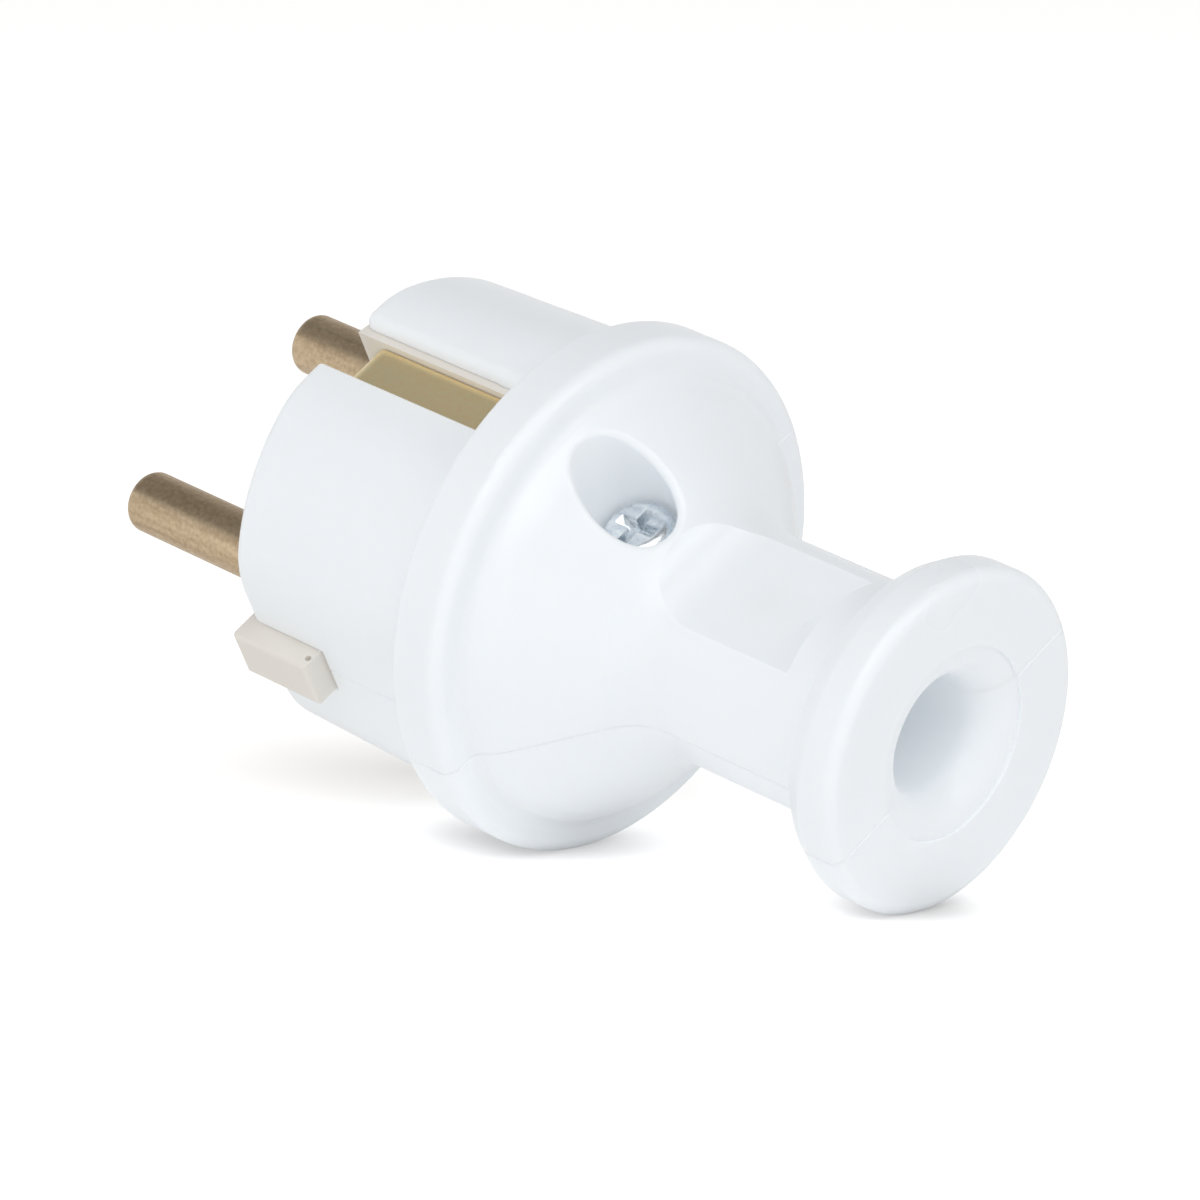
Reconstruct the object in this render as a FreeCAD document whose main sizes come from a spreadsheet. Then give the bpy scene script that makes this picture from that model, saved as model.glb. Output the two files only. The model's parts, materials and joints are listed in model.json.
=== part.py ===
import FreeCAD, Part
import os
import math
import Sketcher

# Round earthed mains plug, wired by hand: two moulded half shells, a pin carrier, two pins, an earth
# strip and their screws.  Plug frame: X along the pin line, Y through the strips, Z to the handle;
# Z = 0 is the engagement face.

doc = FreeCAD.newDocument("plug")
sheet = doc.addObject("Spreadsheet::Sheet", "dims")

SIZES = [
    # outer form
    ("flange_lip", 1.85),
    ("body_draft", 0.55),
    ("front_length", 18.85),
    ("flat_step", 1.35),
    ("crown_step", 0.85),
    ("flat_blend", 8.0),
    ("flange_radius", 19.95),
    ("flange_length", 4.45),
    ("flange_front_round", 0.4),
    ("flange_rear_round", 1.0),
    ("dome_foot_step", 2.55),
    ("dome_foot_round", 1.1),
    ("dome_shoulder_step", 1.1),
    ("dome_shoulder_rise", 1.95),
    ("dome_shoulder_round", 5.0),
    ("neck_radius", 8.95),
    ("neck_sweep", 6.0),
    ("collar_length", 4.6),
    ("collar_rise", 3.15),
    ("collar_step", 0.95),
    ("collar_sweep", 1.5),
    ("collar_band", 1.6),
    ("collar_round", 0.9),
    ("total_length", 54.8),
    ("front_round", 0.8),
    # hollow inside
    ("body_wall", 1.55),
    ("flat_wall", 1.6),
    ("carrier_length", 13.95),
    ("chamber_step", 1.1),
    ("chamber_length", 7.55),
    ("core_way_radius", 6.2),
    ("clamp_bay_radius", 7.2),
    ("clamp_bay_length", 6.0),
    ("cord_land", 12.3),
    ("cord_radius", 4.4),
    ("mouth_radius", 7.35),
    ("mouth_step", 0.25),
    ("mouth_round", 2.8),
    ("rib_gap", 3.3),
    ("rib_thick", 1.2),
    ("rib_lead", 5.4),
    ("rib_pitch", 3.0),
    # cord clamp
    ("clamp_back", 14.8),
    ("clamp_pitch", 9.6),
    ("clamp_seat", 1.2),
    ("clamp_thick", 2.0),
    ("clamp_length", 13.2),
    ("clamp_width", 4.6),
    ("bite_width", 3.6),
    ("bite_height", 0.8),
    ("boss_radius", 2.0),
    ("saddle_height", 1.2),
    ("clamp_screw_radius", 1.2),
    ("clamp_head_radius", 1.9),
    ("clamp_head_height", 1.4),
    ("clamp_grip", 3.2),
    # earth strip
    ("strip_width", 3.4),
    ("strip_thick", 1.0),
    ("strip_sink", 1.5),
    ("strip_rise", 3.65),
    ("nose_turn", 2.0),
    ("nose_start", 0.4),
    ("nose_rise", 2.4),
    ("nose_bend", 1.5),
    ("rail_height", 0.55),
    ("notch_width", 4.9),
    ("notch_round", 1.0),
    ("notch_edge_round", 0.2),
    ("tongue_half_width", 4.0),
    ("tongue_depth", 4.2),
    # lugs
    ("lug_height", 1.95),
    ("lug_front", 0.35),
    ("lug_width", 4.0),
    ("lug_length", 7.25),
    ("lug_round", 0.35),
    ("lug_slot_extra", 0.25),
    ("pit_radius", 0.25),
    ("pit_depth", 0.8),
    ("pit_place", 6.85),
    # pins
    ("pin_radius", 2.4),
    ("pin_length", 19.0),
    ("pin_pitch", 19.0),
    ("pin_tip_round", 0.9),
    ("stem_radius", 2.6),
    ("barrel_radius", 3.2),
    ("barrel_length", 8.0),
    ("bore_radius", 2.0),
    ("tip_bore_radius", 1.8),
    ("bore_step", 0.8),
    ("pin_tip_wall", 1.2),
    ("terminal_back", 3.75),
    # pin carrier, a cup with a tower round each pin
    ("carrier_plate", 2.2),
    ("carrier_wall", 1.2),
    ("tower_radius", 3.6),
    ("bed_half_width", 3.0),
    ("bed_depth", 2.4),
    # screws and nut
    ("screw_radius", 1.5),
    ("terminal_head_radius", 2.2),
    ("terminal_head_height", 1.6),
    ("terminal_lift", 1.0),
    ("slot_width", 0.7),
    ("slot_depth", 0.8),
    ("washer_length", 7.0),
    ("washer_width", 6.0),
    ("washer_thick", 1.0),
    ("earth_head_radius", 2.8),
    ("earth_head_height", 1.8),
    ("earth_shank", 3.2),
    ("post_place", 27.6),
    ("post_radius", 5.1),
    ("recess_radius", 3.15),
    ("recess_round", 0.5),
    ("seat_height", 7.6),
    ("head_radius", 2.75),
    ("head_height", 2.0),
    ("head_round", 0.8),
    ("cross_width", 0.9),
    ("cross_span", 3.5),
    ("cross_foot", 1.3),
    ("cross_depth", 1.4),
    ("shank_length", 18.0),
    ("nut_seat", 7.4),
    ("nut_flat", 5.5),
    ("nut_height", 2.4),
    # name pad on the neck
    ("pad_height", 7.5),
    ("pad_start", 31.0),
    ("pad_back", 4.6),
    ("pad_blend", 5.0),
    ("pad_clear", 7.0),
    # clearances
    ("fit_gap", 0.1),
    ("thread_gap", 0.02),
    ("hole_gap", 0.2),
    ("spare", 4.0),
    # lying on the two rims
    ("roll_angle", 126.0),
    ("rest_flat", 0.05),
    ("seam_edge", 0.1),
]


class Dim:
    # a length that knows its value and the sheet text it comes from
    def __init__(self, text, value):
        self.text = text
        self.value = value

    def __add__(self, other):
        o = as_dim(other)
        return Dim("(" + self.text + " + " + o.text + ")", self.value + o.value)

    def __radd__(self, other):
        return as_dim(other) + self

    def __sub__(self, other):
        o = as_dim(other)
        return Dim("(" + self.text + " - " + o.text + ")", self.value - o.value)

    def __rsub__(self, other):
        return as_dim(other) - self

    def __mul__(self, other):
        o = as_dim(other)
        return Dim("(" + self.text + " * " + o.text + ")", self.value * o.value)

    def __rmul__(self, other):
        return as_dim(other) * self

    def __truediv__(self, other):
        o = as_dim(other)
        return Dim("(" + self.text + " / " + o.text + ")", self.value / o.value)

    def __neg__(self):
        return Dim("(0 - " + self.text + ")", -self.value)


def as_dim(v):
    if isinstance(v, Dim):
        return v
    return Dim(repr(float(v)), float(v))


class Sizes:
    pass


S = Sizes()
for row, (name, value) in enumerate(SIZES, 1):
    sheet.set("A%d" % row, name)
    sheet.set("B%d" % row, "%g" % value)
    sheet.setAlias("B%d" % row, name)
    setattr(S, name, Dim("dims." + name, float(value)))
doc.recompute()


def plane(body, role):
    for f in body.Origin.OriginFeatures:
        if f.Role == role:
            return f
    raise RuntimeError("no plane " + role)


def new_body(label):
    return doc.addObject("PartDesign::Body", label)


def new_sketch(body, name, role):
    sk = body.newObject("Sketcher::SketchObject", name)
    sk.AttachmentSupport = [(plane(body, role), "")]
    sk.MapMode = "FlatFace"
    return sk


def outline(sk, points):
    # closed polygon whose corners are bound to the sheet
    pts = [(as_dim(x), as_dim(y)) for x, y in points]
    n = len(pts)
    first = sk.GeometryCount
    for i in range(n):
        a = pts[i]
        b = pts[(i + 1) % n]
        sk.addGeometry(Part.LineSegment(FreeCAD.Vector(a[0].value, a[1].value, 0),
                                        FreeCAD.Vector(b[0].value, b[1].value, 0)), False)
    for i in range(n):
        sk.addConstraint(Sketcher.Constraint("Coincident", first + i, 2, first + (i + 1) % n, 1))
    for i in range(n):
        for kind, d in (("DistanceX", pts[i][0]), ("DistanceY", pts[i][1])):
            c = sk.addConstraint(Sketcher.Constraint(kind, -1, 1, first + i, 1, d.value))
            if "dims." in d.text:
                sk.setExpression("Constraints[%d]" % c, d.text)


def circle(sk, x, y, r):
    x = as_dim(x)
    y = as_dim(y)
    r = as_dim(r)
    g = sk.addGeometry(Part.Circle(FreeCAD.Vector(x.value, y.value, 0), FreeCAD.Vector(0, 0, 1), r.value), False)
    for kind, d in (("DistanceX", x), ("DistanceY", y)):
        c = sk.addConstraint(Sketcher.Constraint(kind, -1, 1, g, 3, d.value))
        if "dims." in d.text:
            sk.setExpression("Constraints[%d]" % c, d.text)
    c = sk.addConstraint(Sketcher.Constraint("Radius", g, r.value))
    if "dims." in r.text:
        sk.setExpression("Constraints[%d]" % c, r.text)


def bind(obj, prop, d):
    d = as_dim(d)
    obj.setExpression(prop, d.text if "dims." in d.text else None)
    if "dims." not in d.text:
        setattr(obj, prop, d.value)


def pad(body, sk, name, length, reverse=False, middle=False):
    f = body.newObject("PartDesign::Pad", name)
    f.Profile = sk
    bind(f, "Length", length)
    f.Reversed = reverse
    f.Midplane = middle
    sk.Visibility = False
    return f


def pocket(body, sk, name, length, reverse=False, middle=False):
    f = body.newObject("PartDesign::Pocket", name)
    f.Profile = sk
    bind(f, "Length", length)
    f.Reversed = reverse
    f.Midplane = middle
    sk.Visibility = False
    return f


def spin(body, sk, name, angle, reverse=False):
    f = body.newObject("PartDesign::Revolution", name)
    f.Profile = sk
    f.ReferenceAxis = (sk, ["V_Axis"])
    f.Angle = angle
    f.Reversed = reverse
    sk.Visibility = False
    return f


def near(a, b, tol=0.02):
    return abs(a - b) < tol


def ring_edges(shape, radius, height):
    # round edges about Z with this radius at this height
    out = []
    for i, e in enumerate(shape.Edges, 1):
        c = e.Curve
        if c.TypeId == "Part::GeomCircle" and near(c.Radius, radius) and near(c.Center.z, height):
            if abs(c.Axis.z) > 0.99:
                out.append("Edge%d" % i)
    return out


def fillet(body, name, picks, radius):
    doc.recompute()
    base = body.Tip
    edges = picks(base.Shape)
    if not edges:
        raise RuntimeError("no edges for " + name)
    f = body.newObject("PartDesign::Fillet", name)
    f.Base = (base, edges)
    bind(f, "Radius", radius)
    doc.recompute()
    if f.Shape.isNull() or not f.Shape.isValid():
        raise RuntimeError("fillet failed " + name)
    return f


def cylinder(name, r, length, base, direction):
    # plain cylinder from a base point along an axis, bound to the sheet
    c = doc.addObject("Part::Cylinder", name)
    bind(c, "Radius", r)
    bind(c, "Height", length)
    rot = FreeCAD.Rotation(FreeCAD.Vector(0, 0, 1), FreeCAD.Vector(*direction))
    c.Placement = FreeCAD.Placement(FreeCAD.Vector(0, 0, 0), rot)
    for axis, d in zip("xyz", base):
        d = as_dim(d)
        if "dims." in d.text:
            c.setExpression("Placement.Base." + axis, d.text)
        else:
            setattr(c.Placement.Base, axis, d.value)
            p = c.Placement
            b = p.Base
            setattr(b, axis, d.value)
            c.Placement = FreeCAD.Placement(b, p.Rotation)
    return c


def block(name, corner, size):
    # plain box from its low corner, bound to the sheet
    b = doc.addObject("Part::Box", name)
    for prop, d in zip(("Length", "Width", "Height"), size):
        bind(b, prop, d)
    for axis, d in zip("xyz", corner):
        d = as_dim(d)
        b.setExpression("Placement.Base." + axis, d.text)
    return b


def fuse(name, items):
    f = doc.addObject("Part::MultiFuse", name)
    f.Shapes = items
    f.Refine = True
    return f


def cut(name, base, tool):
    f = doc.addObject("Part::Cut", name)
    f.Base = base
    f.Tool = tool
    f.Refine = True
    return f


def rounded(name, base, pick, radius):
    # rounding on a plain solid, on the edges that pick names
    doc.recompute()
    f = doc.addObject("Part::Fillet", name)
    f.Base = base
    f.Edges = [(int(e[4:]), radius.value, radius.value) for e in pick(base.Shape)]
    doc.recompute()
    if f.Shape.isNull() or not f.Shape.isValid():
        raise RuntimeError("rounding failed " + name)
    return f


# sizes that follow from others: across the body, and along it from the handle's end
S.rear_radius = S.flange_radius - S.flange_lip
S.front_radius = S.rear_radius - S.body_draft
S.flat_half = S.front_radius - S.flat_step
S.crown_half = S.front_radius - S.crown_step
S.cavity_radius = S.front_radius - S.body_wall
S.cavity_flat = S.flat_half - S.flat_wall
S.chamber_radius = S.cavity_radius - S.chamber_step
S.dome_foot_radius = S.flange_radius - S.dome_foot_step
S.dome_shoulder_radius = S.dome_foot_radius - S.dome_shoulder_step
S.strip_half = S.crown_half - S.strip_sink
S.nose_half = S.strip_half - S.nose_turn
S.rail_half = S.strip_half + S.rail_height
S.tongue_inner = S.strip_half - S.tongue_depth
S.lug_reach = S.flat_half + S.lug_height
S.strip_end = S.carrier_length + S.strip_rise
S.collar_back_radius = S.neck_radius + S.collar_rise
S.collar_radius = S.collar_back_radius + S.collar_step
S.collar_start = S.total_length - S.collar_length
S.clamp_place = S.total_length - S.clamp_back
S.rib_start = S.clamp_place - S.rib_lead
S.pad_end = S.collar_start - S.pad_back
S.terminal_place = S.carrier_length + S.barrel_length - S.terminal_back

# heights along the plug
flange_end = S.front_length + S.flange_length
shoulder_height = flange_end + S.dome_shoulder_rise
cone_end = shoulder_height + (S.dome_shoulder_radius - S.neck_radius)
strip_inner = S.strip_half - S.strip_thick

# Half shell: moulded from the front body with its two flats, the broad grip flange, the dome
# and the neck with its end collar.
shell = new_body("shell_form")
sk = new_sketch(shell, "shell_profile", "XZ_Plane")
outline(sk, [
    (0, 0),
    (S.front_radius, 0),
    (S.rear_radius, S.front_length),
    (S.flange_radius, S.front_length),
    (S.flange_radius, flange_end),
    (S.dome_foot_radius, flange_end),
    (S.dome_shoulder_radius, shoulder_height),
    (S.neck_radius, cone_end),
    (S.neck_radius, S.collar_start),
    (S.collar_back_radius, S.collar_start),
    (S.collar_radius, S.collar_start + S.collar_band),
    (S.collar_radius, S.total_length),
    (0, S.total_length),
])
spin(shell, sk, "shell_round", 180.0)
doc.recompute()
full = shell.Shape.Volume

# the two side flats of the front body
sk = new_sketch(shell, "flat_sides", "XY_Plane")
outline(sk, [
    (S.flat_half, -S.spare),
    (S.flange_radius + S.spare, -S.spare),
    (S.flange_radius + S.spare, S.flange_radius),
    (S.flat_half, S.flange_radius),
])
outline(sk, [
    (-(S.flange_radius + S.spare), -S.spare),
    (-S.flat_half, -S.spare),
    (-S.flat_half, S.flange_radius),
    (-(S.flange_radius + S.spare), S.flange_radius),
])
outline(sk, [
    (-S.flat_half, S.crown_half),
    (S.flat_half, S.crown_half),
    (S.flat_half, S.flange_radius + S.spare),
    (-S.flat_half, S.flange_radius + S.spare),
])
pocket(shell, sk, "flats", S.front_length, reverse=True)
doc.recompute()
if shell.Shape.Volume >= full:
    raise RuntimeError("flats took nothing away")

fillet(shell, "sweep", lambda s: ring_edges(s, S.neck_radius.value, cone_end.value), S.neck_sweep)
fillet(shell, "shoulder", lambda s: ring_edges(s, S.dome_shoulder_radius.value, shoulder_height.value),
       S.dome_shoulder_round)
fillet(shell, "foot", lambda s: ring_edges(s, S.dome_foot_radius.value, flange_end.value), S.dome_foot_round)
fillet(shell, "rim_rear", lambda s: ring_edges(s, S.flange_radius.value, flange_end.value), S.flange_rear_round)
fillet(shell, "rim_front", lambda s: ring_edges(s, S.flange_radius.value, S.front_length.value),
       S.flange_front_round)
fillet(shell, "collar_foot", lambda s: ring_edges(s, S.neck_radius.value, S.collar_start.value), S.collar_sweep)
fillet(shell, "collar_rear", lambda s: ring_edges(s, S.collar_radius.value, S.total_length.value), S.collar_round)
fillet(shell, "collar_front", lambda s: ring_edges(s, S.collar_radius.value,
                                                   (S.collar_start + S.collar_band).value), S.collar_round)


def front_edges(s):
    out = []
    for i, e in enumerate(s.Edges, 1):
        b = e.BoundBox
        if b.ZMax < 0.01 and b.YMax > 0.5:
            out.append("Edge%d" % i)
    return out


def flat_corners(s):
    # where the flats leave the round of the front body
    out = []
    for i, e in enumerate(s.Edges, 1):
        b = e.BoundBox
        side = near(abs(b.XMin), S.flat_half.value) and near(b.XMin, b.XMax) and b.YMin > 1.0
        crown = near(b.YMin, S.crown_half.value) and near(b.YMin, b.YMax)
        if (side or crown) and b.ZLength > 10.0:
            out.append("Edge%d" % i)
    return out


fillet(shell, "flat_edge", flat_corners, S.flat_blend)
fillet(shell, "front_edge", front_edges, S.front_round)

# open notch for the earth strip, and the slot halves for the side lugs
sk = new_sketch(shell, "strip_notch", "XY_Plane")
outline(sk, [
    (-S.notch_width / 2, S.tongue_inner),
    (S.notch_width / 2, S.tongue_inner),
    (S.notch_width / 2, S.flange_radius),
    (-S.notch_width / 2, S.flange_radius),
])
pocket(shell, sk, "notch", S.strip_end, reverse=True)


def notch_corner(s, place):
    out = []
    for i, e in enumerate(s.Edges, 1):
        b = e.BoundBox
        if near(b.XMin, place.value) and near(b.XMin, b.XMax):
            if b.YMin > S.strip_half.value and b.ZLength > 5.0:
                out.append("Edge%d" % i)
    return out


# one long edge of the notch is well rounded, the other nearly sharp
fillet(shell, "notch_edge", lambda s: notch_corner(s, S.notch_width / 2), S.notch_round)
fillet(shell, "notch_edge_sharp", lambda s: notch_corner(s, -S.notch_width / 2), S.notch_edge_round)
sk = new_sketch(shell, "lug_slots", "XY_Plane")
outline(sk, [
    (S.tongue_inner, -S.spare),
    (S.flange_radius, -S.spare),
    (S.flange_radius, S.lug_width / 2 + S.fit_gap),
    (S.tongue_inner, S.lug_width / 2 + S.fit_gap),
])
outline(sk, [
    (-S.flange_radius, -S.spare),
    (-S.tongue_inner, -S.spare),
    (-S.tongue_inner, S.lug_width / 2 + S.fit_gap),
    (-S.flange_radius, S.lug_width / 2 + S.fit_gap),
])
pocket(shell, sk, "slots", S.lug_length + S.lug_slot_extra, reverse=True)
doc.recompute()

# the parting edge is broken a little all round, which shows as a fine seam
seam = doc.addObject("Part::Chamfer", "seam_break")
seam.Base = shell
seam_size = S.seam_edge.value
seam.Edges = [(i, seam_size, seam_size) for i, e in enumerate(shell.Shape.Edges, 1)
              if near(e.BoundBox.YMin, 0) and near(e.BoundBox.YMax, 0)
              and e.BoundBox.ZMin > S.lug_length.value + S.lug_slot_extra.value - 0.01]
doc.recompute()
if seam.Shape.isNull() or not seam.Shape.isValid():
    raise RuntimeError("seam chamfer failed")

# Hollow of a half shell: seat of the pin carrier, wiring chamber, cord way and mouth.
seat = new_body("carrier_seat")
sk = new_sketch(seat, "seat_round", "XZ_Plane")
outline(sk, [
    (0, -S.spare),
    (S.cavity_radius, -S.spare),
    (S.cavity_radius, S.carrier_length),
    (0, S.carrier_length),
])
spin(seat, sk, "seat_turn", 180.0)
sk = new_sketch(seat, "seat_sides", "XY_Plane")
outline(sk, [
    (S.cavity_flat, -S.spare),
    (S.flange_radius, -S.spare),
    (S.flange_radius, S.cavity_radius),
    (S.cavity_flat, S.cavity_radius),
])
outline(sk, [
    (-S.flange_radius, -S.spare),
    (-S.cavity_flat, -S.spare),
    (-S.cavity_flat, S.cavity_radius),
    (-S.flange_radius, S.cavity_radius),
])
pocket(seat, sk, "seat_flats", 2 * S.flange_radius, middle=True)

chamber_end = S.carrier_length + S.chamber_length
bay_end = S.total_length - S.cord_land
bay_start = bay_end - S.clamp_bay_length
bay_step = S.clamp_bay_radius - S.core_way_radius
chamber = new_body("wiring_chamber")
sk = new_sketch(chamber, "chamber_profile", "XZ_Plane")
outline(sk, [
    (0, S.carrier_length - S.fit_gap),
    (S.chamber_radius, S.carrier_length - S.fit_gap),
    (S.chamber_radius, chamber_end),
    (S.core_way_radius, chamber_end + (S.chamber_radius - S.core_way_radius)),
    (S.core_way_radius, bay_start),
    (S.clamp_bay_radius, bay_start + bay_step),
    (S.clamp_bay_radius, bay_end),
    (S.cord_radius, bay_end + (S.clamp_bay_radius - S.cord_radius)),
    (S.cord_radius, S.total_length - S.mouth_step),
    (S.mouth_radius, S.total_length - S.mouth_step),
    (S.mouth_radius, S.total_length + S.spare),
    (0, S.total_length + S.spare),
])
spin(chamber, sk, "chamber_turn", 180.0)

fillet(chamber, "mouth_flare", lambda s: ring_edges(s, S.cord_radius.value, (S.total_length - S.mouth_step).value),
       S.mouth_round)

channel = block("strip_channel", (-(S.tongue_half_width + S.fit_gap), 0, S.carrier_length - S.spare),
                (2 * (S.tongue_half_width + S.fit_gap), S.strip_half + S.fit_gap,
                 S.strip_end + S.fit_gap - S.carrier_length + S.spare))
hollow = fuse("hollow", [seat, chamber, channel])

# what stays standing inside: the screw post in both halves, three ribs in the neck of one half,
# and in the other two bosses and a saddle for the cord clamp
post = cylinder("post", S.post_radius, S.flange_radius, (0, 0, S.post_place), (0, 1, 0))
ribs = []
for k in range(3):
    ribs.append(block("rib_%d" % (k + 1), (-S.neck_radius, S.rib_gap, S.rib_start + S.rib_pitch * k),
                      (2 * S.neck_radius, S.neck_radius, S.rib_thick)))
cavity_up = cut("cavity_up", hollow, fuse("stays_up", [post] + ribs))

post_low = cylinder("post_low", S.post_radius, S.flange_radius, (0, 0, S.post_place), (0, 1, 0))
saddle_base = S.clamp_bay_radius - S.saddle_height
saddle = block("saddle", (-S.clamp_pitch / 2, saddle_base, S.clamp_place - S.rib_thick / 2),
               (S.clamp_pitch, S.neck_radius, S.rib_thick))
bosses = []
boss_holes = []
for side in (-1, 1):
    tag = "a" if side < 0 else "b"
    spot = (side * S.clamp_pitch / 2, S.clamp_seat, S.clamp_place)
    bosses.append(cylinder("boss_" + tag, S.boss_radius, S.neck_radius, spot, (0, 1, 0)))
    boss_holes.append(cylinder("boss_hole_" + tag, S.clamp_screw_radius + S.thread_gap, S.clamp_grip + S.fit_gap,
                               spot, (0, 1, 0)))
cavity_low = cut("cavity_low", hollow, fuse("stays_low", [post_low, saddle] + bosses))

# Half shell on the screw side, with the screw well and the plain flat pad on the neck.
well = cylinder("screw_well", S.recess_radius, S.flange_radius, (0, S.seat_height, S.post_place), (0, 1, 0))
bolt_way = cylinder("bolt_way", S.screw_radius + S.hole_gap, S.flange_radius, (0, -1, S.post_place), (0, 1, 0))
pad_block = block("pad_block", (-S.neck_radius, S.pad_height, S.pad_start),
                  (2 * S.neck_radius, S.pad_clear, S.pad_end - S.pad_start))


def pad_corner(s):
    out = []
    for i, e in enumerate(s.Edges, 1):
        b = e.BoundBox
        if b.XLength > 1.0 and near(b.YMax, S.pad_height.value) and near(b.ZMax, S.pad_start.value):
            out.append("Edge%d" % i)
    return out


def well_rim(s):
    # the edge where the well breaks through the dome
    out = []
    for i, e in enumerate(s.Edges, 1):
        b = e.BoundBox
        inside = b.XMax < S.recess_radius.value + 0.05 and b.XMin > -S.recess_radius.value - 0.05
        around = abs((b.ZMin + b.ZMax) / 2 - S.post_place.value) < S.recess_radius.value + 0.05
        if inside and around and b.YMin > S.seat_height.value + 0.5:
            points = [e.valueAt(e.FirstParameter), e.valueAt((e.FirstParameter + e.LastParameter) / 2)]
            gaps = [abs(math.hypot(q.x, q.z - S.post_place.value) - S.recess_radius.value) for q in points]
            if max(gaps) < 0.01:
                out.append("Edge%d" % i)
    return out


pad_cut = rounded("name_pad", pad_block, pad_corner, S.pad_blend)
upper_form = cut("upper_form", seam, fuse("upper_ways", [well, bolt_way, pad_cut]))
upper_eased = rounded("upper_eased", upper_form, well_rim, S.recess_round)
upper_shell = cut("upper_shell", upper_eased, cavity_up)

# Half shell on the nut side: the same form turned over, with a six-sided nut pocket.
lower_hollowed = cut("lower_hollowed", seam, cavity_low)
lower_bored = cut("lower_bored", lower_hollowed, fuse("boss_ways", boss_holes))
lower_rough = doc.addObject("Part::Mirroring", "lower_rough")
lower_rough.Source = lower_bored
lower_rough.Normal = FreeCAD.Vector(0, 1, 0)
lower_rough.Base = FreeCAD.Vector(0, 0, 0)
nut_well = doc.addObject("Part::Prism", "nut_well")
nut_well.Polygon = 6
bind(nut_well, "Circumradius", (S.nut_flat + S.fit_gap) / math.sqrt(3.0))
bind(nut_well, "Height", S.flange_radius)
nut_well.Placement = FreeCAD.Placement(FreeCAD.Vector(0, 0, 0),
                                       FreeCAD.Rotation(FreeCAD.Vector(0, 0, 1), FreeCAD.Vector(0, -1, 0)))
nut_well.setExpression("Placement.Base.y", (-S.nut_seat).text)
nut_well.setExpression("Placement.Base.z", S.post_place.text)
bolt_way_low = cylinder("bolt_way_low", S.screw_radius + S.hole_gap, S.flange_radius, (0, 1, S.post_place),
                        (0, -1, 0))

# how the plug lies: the flange rim and the collar rim both touch the floor
rear_round = S.flange_rear_round.value
collar_round = S.collar_round.value
rim_r = S.flange_radius.value - rear_round
rim_z = flange_end.value - rear_round
end_r = S.collar_radius.value - collar_round
end_z = S.total_length.value - collar_round
span = math.hypot(rim_r - end_r, end_z - rim_z)
lean = math.atan2(rim_r - end_r, end_z - rim_z) + math.asin((rear_round - collar_round) / span)
tilt = FreeCAD.Rotation(FreeCAD.Vector(0, 1, 0), 90.0 + math.degrees(lean))
roll = FreeCAD.Rotation(FreeCAD.Vector(0, 0, 1), S.roll_angle.value)
pose = FreeCAD.Placement(FreeCAD.Vector(0, 0, 0), tilt.multiply(roll))
lowest = -rim_z * math.sin(lean) - rim_r * math.cos(lean) - rear_round

# a few hundredths of a flat on each rim, where the moulding is out of round and comes to rest
floor_size = 2 * S.total_length
floor_block = doc.addObject("Part::Box", "floor_block")
bind(floor_block, "Length", floor_size)
bind(floor_block, "Width", floor_size)
bind(floor_block, "Height", S.spare + S.rest_flat)
under = FreeCAD.Vector(-S.total_length.value, -S.total_length.value, lowest - S.spare.value)
floor_block.Placement = pose.inverse().multiply(FreeCAD.Placement(under, FreeCAD.Rotation()))
lower_ways = fuse("lower_ways", [nut_well, bolt_way_low, floor_block])
lower_shell = cut("lower_shell", lower_rough, lower_ways)

# Pin carrier: one cream moulding that closes the front, with a lug on each side.
carrier = new_body("pin_carrier")
carrier_radius = S.cavity_radius - S.fit_gap
carrier_flat = S.cavity_flat - S.fit_gap
sk = new_sketch(carrier, "carrier_round", "XZ_Plane")
outline(sk, [(0, 0), (carrier_radius, 0), (carrier_radius, S.carrier_length), (0, S.carrier_length)])
spin(carrier, sk, "carrier_turn", 360.0)
sk = new_sketch(carrier, "carrier_sides", "XY_Plane")
outline(sk, [
    (carrier_flat, -S.flange_radius),
    (S.flange_radius, -S.flange_radius),
    (S.flange_radius, S.flange_radius),
    (carrier_flat, S.flange_radius),
])
outline(sk, [
    (-S.flange_radius, -S.flange_radius),
    (-carrier_flat, -S.flange_radius),
    (-carrier_flat, S.flange_radius),
    (-S.flange_radius, S.flange_radius),
])
pocket(carrier, sk, "carrier_flats", 2 * S.flange_radius, middle=True)
sk = new_sketch(carrier, "lug_side", "XZ_Plane")
outline(sk, [
    (S.tongue_inner, 0),
    (carrier_flat, 0),
    (carrier_flat, -S.lug_front),
    (S.lug_reach, -S.lug_front),
    (S.lug_reach, S.lug_length),
    (S.tongue_inner, S.lug_length),
])
outline(sk, [
    (-S.lug_reach, -S.lug_front),
    (-carrier_flat, -S.lug_front),
    (-carrier_flat, 0),
    (-S.tongue_inner, 0),
    (-S.tongue_inner, S.lug_length),
    (-S.lug_reach, S.lug_length),
])
pad(carrier, sk, "lugs", S.lug_width, middle=True)


def lug_corners(s):
    out = []
    for i, e in enumerate(s.Edges, 1):
        b = e.BoundBox
        if near(abs(b.XMin), S.lug_reach.value) and near(b.XMin, b.XMax):
            out.append("Edge%d" % i)
    return out


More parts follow.
